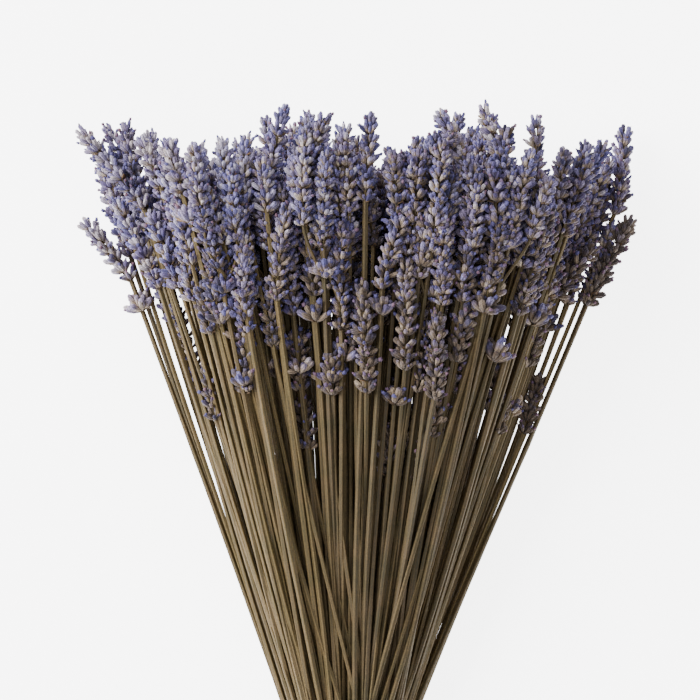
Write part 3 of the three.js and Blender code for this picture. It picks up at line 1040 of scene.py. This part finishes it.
def stalk_path(spray):
    """A stalk's axis, mm: rounded through the waist, wandering a little, up to its head."""
    cell = spray["cell"]
    start = spray["start"]
    points = []
    if "offset" in spray:
        offset = Vector((spray["offset"].x, 0, spray["offset"].y))
        for step in range(SHOOT_STEPS + 1):
            share = step / SHOOT_STEPS
            eased = share * share * (3 - 2 * share)
            point = stem_point(cell, spray, mix(start, spray["foot"], share))
            points.append(point - offset * (1 - eased))
        return points
    below = WAIST - WAIST_ROUND[0]
    above = WAIST + WAIST_ROUND[1]
    if start < below:
        points = [stem_point(cell, spray, mix(start, below, step / 2)) for step in range(3)]
        corners = [stem_point(cell, spray, y) for y in (below, WAIST, above)]
        for step in range(1, 5):
            first = corners[0].lerp(corners[1], step / 5)
            second = corners[1].lerp(corners[2], step / 5)
            points.append(first.lerp(second, step / 5))
    else:
        points.append(stem_point(cell, spray, start))
    draw = random.Random(spray["key"])
    bow = Vector((draw.uniform(-1, 1), 0, draw.uniform(-0.5, 0.5))) * STALK_WANDER
    bow.z -= spray.get("sag", 0)
    wave = Vector((draw.uniform(-1, 1), 0, draw.uniform(-0.5, 0.5))) * STALK_WANDER * STALK_WAVE
    for step in range(PATH_STEPS + 1):
        share = step / PATH_STEPS
        point = stem_point(cell, spray, mix(above, spray["foot"], share))
        point += bow * math.sin(math.pi * share) + wave * math.sin(TURN * share)
        point.z = max(point.z, STEM_SIDE / 2)
        points.append(point)
    return points


# The highest that a head's axis lies, so that the bunch keeps the height of its solids.
HIGHEST_AXIS = CAD_BOX[1][2] / MM - 5.5
LOWEST_AXIS = 1.6
NOD_POWER = 1.25


def head_axis(spray, share):
    """A point of a head's axis, mm: it nods to one side towards its tip."""
    point = spray["foot_at"].lerp(spray["straight_tip"], share)
    point += spray["nod"] * max(share, 0) ** NOD_POWER
    point.z = held(point.z, LOWEST_AXIS, HIGHEST_AXIS)
    return point


# Section of a square stalk, 1 across: blunt ribs at its corners and a groove along each side.
SECTION = [(0.33, 0.0), (0.47, 0.27), (0.27, 0.47)]


def section_shape():
    points = []
    for quarter in range(4):
        turn = Matrix.Rotation(quarter * math.pi / 2, 3, "Z")
        points.extend(turn @ Vector((x, y, 0)) for x, y in SECTION)
    edges = [(index, (index + 1) % len(points)) for index in range(len(points))]
    # groove is 1 at the middle of each side, where the stalk's material paints shade
    return mesh_object("stalk_section", points, [], {"groove": [1.0, 0.0, 0.0] * 4}, edges)


def stalk_paths(sprays, mean_width):
    """Points, edges and attributes of the stalks' axes; mean_width in mm."""
    points = []
    edges = []
    carries = {"thickness": [], "tint": [], "roll": []}
    for spray in sprays:
        draw = random.Random(spray["key"] + WIDTH_DRAWS)
        width = mean_width * draw.uniform(*STALK_WIDTHS)
        if "offset" in spray:
            width *= SHOOT_WIDTH
        across = spray["cell"]["crown"].x
        # painted shade across the middle of the bunch, and painted light at the left and at the right
        # edge
        dull = held(min(across - SHADE_FROM, LIT_EDGE_BEYOND - across) / SHADE_OVER)
        mean, painted_shade_drop, spread = UPPER_STALKS if "sag" in spray else INSIDE_STALKS
        colour = held(draw.gauss(mean - painted_shade_drop * dull, spread))
        turned = draw.uniform(0, math.pi / 2)
        nodes = [draw.uniform(*place) for place in NODE_PLACES]
        path = stalk_path(spray)
        widths = []
        for point in path:
            swell = sum(math.exp(-((point.y - node) / NODE_LENGTH) ** 2) for node in nodes)
            widths.append(width * (1 + NODE_SWELL * swell))
        for step in range(1, RACHIS_STEPS + 1):
            share = RACHIS_SHARE * step / RACHIS_STEPS
            path.append(head_axis(spray, share))
            widths.append(width * mix(*RACHIS_WIDTHS, share))
        for point, wide in zip(path, widths):
            point.z = max(point.z, wide * HALF_SECTION + FLOOR_GAP)
        first = len(points)
        points.extend((p + SHIFT) * MM for p in path)
        edges.extend((first + i, first + i + 1) for i in range(len(path) - 1))
        carries["thickness"].extend(w * MM for w in widths)
        carries["tint"].extend([colour] * len(path))
        carries["roll"].extend([turned] * len(path))
    return points, edges, carries


# ------------------------------------------------------------------ heads

# Between whorls, mm: the first two steps down from the tip are shorter.
WHORL_SPACING = 5.15
TOP_SPACINGS = (3.4, 4.4)
SPACINGS = (0.92, 1.1)
# The direction at a whorl is taken over this share of the head's length, to both sides, and at
# a lone whorl over so many mm.
AXIS_REACH = 0.1
LONE_AXIS_REACH = 5
CALYX_LENGTH = 5.2
BRACT_LENGTH = 3.0
COROLLA_LENGTH = 1.8
# The head's radius that these lengths belong to.
MIDDLING_RADIUS = 6.0
# How far the highest whorl sits below the tip, by calyces, and the lowest past the foot, mm.
TOP_WHORL = 0.78
LOWEST_WHORL = -1.5
# From this far up a head narrows to so much at its tip; its lowest whorl is narrower too.
NARROWS_FROM = 0.6
NARROWEST = 0.84
LOWEST_SIZE = 0.95
# How many calyces a whorl has; towards the tip they are fewer and lean out less.
WHORL_CALYCES = (10, 13)
FEWEST_CALYCES = 5
TIP_CALYCES = 0.72
TIP_OPEN = 0.72
OPEN = (0.88, 1.12)
# Rings of a whorl: how many calyces, unless the whorl tells, how they lean out, how far up.
OUTER_RING = (51, 0.0)
INNER_RING = (4, 25, 0.9)
TOP_RINGS = [(6, 36, 0.0), (3, 14, 1.0)]
LONE_OUTER_RING = (55, 0.0)
LONE_INNER_RING = (8, 32, 1.2)
LONE_SIZES = (1.3, 1.5)
LONE_OPEN = (0.8, 1.1)
# Which sprays have a whorl of their own below the head, from which foot on, and how far below.
STRAY_WHORL_SHARE = 0.35
STRAY_WHORL_FOOT = 64
STRAY_WHORL_BELOW = (9, 17)
# How many places of a whorl are bare, and how many calyces still hold a withered corolla.
CALYX_GAP = 0.08
COROLLA_SHARE = 0.3
COROLLA_SEAT = 0.88
# Where calyces and bracts sit off the stalk's axis, mm, and how they scatter: about the stalk,
# in lean (degrees), along the stalk and in size.
CALYX_AWAY = 0.9
CALYX_TURN = 0.34
CALYX_LEAN = 8
CALYX_SHIFT = 0.7
CALYX_SIZES = (0.78, 1.14)
COROLLA_SIZES = (0.7, 1.2)
BRACTS = 2
BRACT_AWAY = 0.8
BRACT_BELOW = 0.9
BRACT_TURN = 0.3
BRACT_LEAN = (54, 10)
BRACT_SIZES = (0.6, 1.25)
FLOOR_ROOM = 1.5

# tone of a head -> how much lighter its calyces are, and how far they have faded to brown
TONES = {
    2: (-0.02, 0.36), 1: (0.16, 0.06), 0: (0.02, 0.1), -1: (-0.12, 0.16), -2: (-0.27, 0.28),
    -3: (-0.24, 0.7),
}
MIDDLING_TINT = 0.52
TINT_SPREAD = 0.24
HEAD_SPREAD = 0.06
AGE_SPREAD = 0.1
LEAST_AGE = 0.02
# Painted light: heads are paler and bluer towards the crown and on the left, where the light falls, by
# this much a mm.
CROWN_HEADS = 148
PAINTED_LIGHT_UP = 0.003
PAINTED_BLUE_UP = 0.0065
PAINTED_LIGHT_LEFT = 0.002
PAINTED_BLUE_LEFT = 0.0042


def has_stray_whorl(spray):
    """Whether a spray has a whorl of its own below its head: not at the edges or on low heads."""
    edge = abs(spray["cell"]["crown"].x) > OPEN_EDGE
    if edge or "offset" in spray or spray["foot"] < STRAY_WHORL_FOOT:
        return False
    return chance(spray["key"], 15) < STRAY_WHORL_SHARE


def whorls_of(spray):
    """The whorls of a head from its foot: where, along what, how wide, open and filled."""
    draw = random.Random(spray["key"] + WHORL_DRAWS)
    length = (head_axis(spray, 1) - head_axis(spray, 0)).length
    places = []
    place = length - CALYX_LENGTH * TOP_WHORL
    while place > LOWEST_WHORL:
        places.append(place)
        step = TOP_SPACINGS[len(places) - 1] if len(places) <= len(TOP_SPACINGS) else WHORL_SPACING
        place -= step * draw.uniform(*SPACINGS)
    places.reverse()
    whorls = []
    for index, place in enumerate(places):
        share = place / length
        taper = mix(1.0, NARROWEST, max(share - NARROWS_FROM, 0) / (1 - NARROWS_FROM))
        calyces = draw.uniform(*WHORL_CALYCES) * mix(1.0, TIP_CALYCES, share * share)
        top = index == len(places) - 1
        ahead = head_axis(spray, share + AXIS_REACH) - head_axis(spray, share - AXIS_REACH)
        whorls.append({
            "centre": head_axis(spray, share), "axis": ahead.normalized(), "lone": False,
            "size": (taper if index else LOWEST_SIZE) * spray["radius"] / MIDDLING_RADIUS,
            "rings": TOP_RINGS if top else [
                (max(FEWEST_CALYCES, round(calyces)), *OUTER_RING), INNER_RING,
            ],
            "open": mix(1.0, TIP_OPEN, share ** 2) * draw.uniform(*OPEN),
        })
    if "lone" in spray or has_stray_whorl(spray):
        at = spray.get("lone", spray["foot"] - draw.uniform(*STRAY_WHORL_BELOW))
        centre = stem_point(spray["cell"], spray, at)
        ahead = stem_point(spray["cell"], spray, at + LONE_AXIS_REACH)
        whorls.insert(0, {
            "centre": centre, "axis": (ahead - centre).normalized(), "lone": True,
            "size": draw.uniform(*LONE_SIZES) * spray["radius"] / MIDDLING_RADIUS,
            "rings": [(draw.randint(*WHORL_CALYCES), *LONE_OUTER_RING), LONE_INNER_RING],
            "open": draw.uniform(*LONE_OPEN),
        })
    return whorls


def seat_on(whorl, angle, lean, away, up, length):
    """A seat, an aim that keeps clear of the surface, and outward, for what stands on a whorl."""
    axis = whorl["axis"]
    side = axis.cross(Vector((0, 0, 1))).normalized()
    rise = side.cross(axis).normalized()
    out = side * math.cos(angle) + rise * math.sin(angle)
    aim = axis * math.cos(math.radians(lean)) + out * math.sin(math.radians(lean))
    seat = whorl["centre"] + out * away + axis * up
    seat.z = max(seat.z, FLOOR_ROOM)
    lowest = FLOOR_ROOM - seat.z
    if aim.z * length < lowest:
        aim = Vector((aim.x, aim.y, lowest / length))
    return seat, aim.normalized(), out


def head_seats(spray):
    """Seats of the calyces, corollas and bracts of one head, mm."""
    draw = random.Random(spray["key"] + SEAT_DRAWS)
    lighter, age = TONES[spray["tone"]]
    lighter += draw.gauss(0.0, HEAD_SPREAD)
    age = max(age + draw.gauss(0.0, HEAD_SPREAD), LEAST_AGE)
    calyces = []
    corollas = []
    bracts = []
    for whorl in whorls_of(spray):
        up = whorl["centre"].y - CROWN_HEADS
        left = max(-whorl["centre"].x, 0.0)
        # painted light: paler and bluer towards the crown and the left; the blue also reaches the
        # calyces' violet and the corollas' colour
        paler = PAINTED_LIGHT_UP * up + PAINTED_LIGHT_LEFT * left
        bluer = PAINTED_BLUE_UP * up + PAINTED_BLUE_LEFT * left
        fresh_and_painted_blue = held(1 - age + bluer / 2)
        turn = draw.uniform(0, TURN)
        for count, lean, lift in whorl["rings"]:
            for index in range(count):
                if draw.random() < CALYX_GAP and not whorl["lone"]:
                    continue
                angle = turn + TURN * (index + draw.uniform(-CALYX_TURN, CALYX_TURN)) / count
                leans = lean * whorl["open"] + draw.gauss(0, CALYX_LEAN)
                above = lift + draw.uniform(-CALYX_SHIFT, CALYX_SHIFT)
                size = whorl["size"] * draw.uniform(*CALYX_SIZES)
                stands = seat_on(whorl, angle, leans, CALYX_AWAY, above, CALYX_LENGTH * size)
                tint = held(draw.gauss(MIDDLING_TINT + lighter + paler, TINT_SPREAD))
                faded = held(draw.gauss(age, AGE_SPREAD))
                calyces.append((*stands, size, tint, faded, draw.random() + bluer))
                if draw.random() < COROLLA_SHARE:
                    seat, aim, out = stands
                    mouth = seat + aim * CALYX_LENGTH * size * COROLLA_SEAT
                    wide = size * draw.uniform(*COROLLA_SIZES)
                    corollas.append((mouth, aim, out, wide, draw.random() * fresh_and_painted_blue, 0, 0))
        for index in range(BRACTS):
            angle = turn + TURN * (index + draw.uniform(-BRACT_TURN, BRACT_TURN)) / BRACTS
            leans = BRACT_LEAN[0] * whorl["open"] + draw.uniform(-BRACT_LEAN[1], BRACT_LEAN[1])
            size = whorl["size"] * draw.uniform(*BRACT_SIZES)
            stands = seat_on(whorl, angle, leans, BRACT_AWAY, -BRACT_BELOW, BRACT_LENGTH * size)
            bracts.append((*stands, size, draw.random(), 0, 0))
    return calyces, corollas, bracts


def seat_object(name, seats):
    """The seats as points that carry how each shape stands there and how it looks."""
    points = [(seat[0] + SHIFT) * MM for seat in seats]
    carries = ("aim", "outward", "size", "tint", "age", "bloom")
    attributes = {key: [seat[place] for seat in seats] for place, key in enumerate(carries, 1)}
    return mesh_object(name, points, [], attributes)


def finish_piece(piece, slot, *nodes):
    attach(piece, "root")
    if nodes:
        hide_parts(*nodes)


# ------------------------------------------------------------------ settings


class LavenderStalkSettings(bpy.types.PropertyGroup):
    """Width and colour of the stalks."""

    stalk_width: bpy.props.FloatProperty(
        name="Stalk width", description="Mean width of a stalk", default=STALK_WIDTH * MM,
        unit="LENGTH")
    rib_colour: bpy.props.FloatVectorProperty(
        name="Rib colour", description="Colour of the ribs of a middling stalk", subtype="COLOR",
        default=linear("#5a4827"))


class LavenderHeadSettings(bpy.types.PropertyGroup):
    """Sizes and colours of the flower heads."""

    calyx_length: bpy.props.FloatProperty(
        name="Calyx length", description="Length of one calyx", default=CALYX_LENGTH * MM,
        unit="LENGTH")
    bract_length: bpy.props.FloatProperty(
        name="Bract length", description="Length of the papery scales under each whorl",
        default=BRACT_LENGTH * MM, unit="LENGTH")
    corolla_length: bpy.props.FloatProperty(
        name="Corolla length", description="Length of a withered corolla",
        default=COROLLA_LENGTH * MM, unit="LENGTH")
    mauve_colour: bpy.props.FloatVectorProperty(
        name="Mauve", description="Colour of a middling calyx on a mauve head", subtype="COLOR",
        default=linear("#63577d"))
    blue_colour: bpy.props.FloatVectorProperty(
        name="Blue", description="Colour of a middling calyx on a blue head", subtype="COLOR",
        default=linear("#565283"))


class LavenderStageSettings(bpy.types.PropertyGroup):
    """Camera of the stage: how wide it sees and how high it stands."""

    view_width: bpy.props.FloatProperty(
        name="View width", description="Width that the camera sees at the middle of the bunch",
        default=VIEW_WIDTH * MM, unit="LENGTH")
    camera_height: bpy.props.FloatProperty(
        name="Camera height", description="Height of the camera above the surface",
        default=CAMERA_HEIGHT * MM, unit="LENGTH")


# ------------------------------------------------------------------ operators


class LAVENDER_OT_stalks(bpy.types.Operator):
    """Sweep the stalks of every bundle"""

    bl_idname = "lavender.stalks"
    bl_label = "Stalks"

    def execute(self, context):
        settings = context.scene.lavender_stalks
        material = dried_stalk_material(settings.rib_colour)
        section = section_shape()
        tree = sweep_tree()
        for cell, sprays in whole_bunch():
            points, edges, attributes = stalk_paths(sprays, settings.stalk_width / MM)
            label = "%02d" % cell["number"]
            source = mesh_object("paths_" + label, points, [], attributes, edges)
            piece = run_tree(source, tree, "stalks_" + label, {
                "Section": section, "Material": material,
            })
            finish_piece(piece, "dried_stem", "bundle_%s_stems" % label)
        remove_object(section)
        return {"FINISHED"}


class LAVENDER_OT_heads(bpy.types.Operator):
    """Set calyces, bracts and withered corollas on every head"""

    bl_idname = "lavender.heads"
    bl_label = "Flower heads"

    def execute(self, context):
        settings = context.scene.lavender_heads
        calyx_material = downy_calyx_material(settings.mauve_colour, settings.blue_colour)
        # name, shape, material, length and how far, in radians, each is spun at random
        kinds = [
            ("calyces", calyx_shape(), calyx_material, settings.calyx_length, 0.5),
            ("corollas", corolla_shape(), withered_corolla_material(), settings.corolla_length, 6.0),
            ("bracts", bract_shape(), papery_bract_material(), settings.bract_length, 0.0),
        ]
        tree = scatter_tree()
        for cell, sprays in whole_bunch():
            label = "%02d" % cell["number"]
            found = [head_seats(spray) for spray in sprays]
            for kind, (word, shape, material, length, spin) in enumerate(kinds):
                seats = [seat for head in found for seat in head[kind]]
                source = seat_object("seats_" + label, seats)
                piece = run_tree(source, tree, "%s_%s" % (word, label), {
                    "Shape": shape, "Length": length, "Spin": spin, "Seed": cell["number"],
                    "Material": material,
                })
                replaced = ["bundle_%s_heads" % label] if word == "calyces" else []
                finish_piece(piece, "dried_flower", *replaced)
        for _word, shape, *_rest in kinds:
            remove_object(shape)
        return {"FINISHED"}


FLOOR_HALF = 3.0
ROOM_COLOUR = "#f3f4f7"
ROOM_LIGHT = 1.06
# Lamps: name, place, size and power. They shine on the middle of the bunch.
LAMPS = [("window", (-2.9, 1.3, 1.75), 3.0, 545), ("fill", (0.9, -0.3, 1.4), 1.2, 6)]
LIT_PLACE = Vector((0, 0.06, 0.03))
SENSOR_WIDTH = 36


class LAVENDER_OT_stage(bpy.types.Operator):
    """Add the surface, the light and the camera"""

    bl_idname = "lavender.stage"
    bl_label = "Stage"

    def execute(self, context):
        settings = context.scene.lavender_stage
        scene = context.scene
        corners = ((-1, -1, 0), (1, -1, 0), (1, 1, 0), (-1, 1, 0))
        floor = mesh_object("surface", [Vector(c) * FLOOR_HALF for c in corners], [(0, 1, 2, 3)])
        floor.data.materials.append(surface_material())

        world = bpy.data.worlds.new("pale_room")
        world.use_nodes = True
        background = world.node_tree.nodes["Background"]
        background.inputs["Color"].default_value = (*linear(ROOM_COLOUR), 1)
        background.inputs["Strength"].default_value = ROOM_LIGHT
        scene.world = world

        for name, place, size, power in LAMPS:
            data = bpy.data.lights.new(name, "AREA")
            data.size = size
            data.energy = power
            lamp = bpy.data.objects.new(name, data)
            lamp.location = place
            lamp.rotation_euler = (LIT_PLACE - Vector(place)).to_track_quat("-Z", "Y").to_euler()
            scene.collection.objects.link(lamp)

        lens = bpy.data.cameras.new("camera")
        camera = bpy.data.objects.new("camera", lens)
        scene.collection.objects.link(camera)
        camera.location = (0, VIEW_MIDDLE * MM, settings.camera_height)
        distance = settings.camera_height - MIDDLE_HEIGHT * MM
        lens.sensor_width = SENSOR_WIDTH
        lens.lens = SENSOR_WIDTH * distance / settings.view_width
        lens.clip_end = 20
        scene.camera = camera
        return {"FINISHED"}


SETTINGS = {
    "lavender_stalks": LavenderStalkSettings,
    "lavender_heads": LavenderHeadSettings,
    "lavender_stage": LavenderStageSettings,
}
OPERATORS = (LAVENDER_OT_stalks, LAVENDER_OT_heads, LAVENDER_OT_stage)


class LAVENDER_PT_panel(bpy.types.Panel):
    """Lavender bunch"""

    bl_idname = "LAVENDER_PT_panel"
    bl_label = "Lavender bunch"
    bl_space_type = "VIEW_3D"
    bl_region_type = "UI"
    bl_category = "Lavender"

    def draw(self, context):
        for name, kind in SETTINGS.items():
            for key in kind.__annotations__:
                self.layout.prop(getattr(context.scene, name), key)
        for operator in OPERATORS:
            self.layout.operator(operator.bl_idname)


CLASSES = (*SETTINGS.values(), *OPERATORS, LAVENDER_PT_panel)


def register():
    for kind in CLASSES:
        bpy.utils.register_class(kind)
    for name, kind in SETTINGS.items():
        setattr(bpy.types.Scene, name, bpy.props.PointerProperty(type=kind))


def unregister():
    for name in SETTINGS:
        delattr(bpy.types.Scene, name)
    for kind in reversed(CLASSES):
        bpy.utils.unregister_class(kind)


def main():
    register()
    bpy.ops.lavender.stalks()
    bpy.ops.lavender.heads()
    bpy.ops.lavender.stage()


if __name__ == "__main__":
    main()
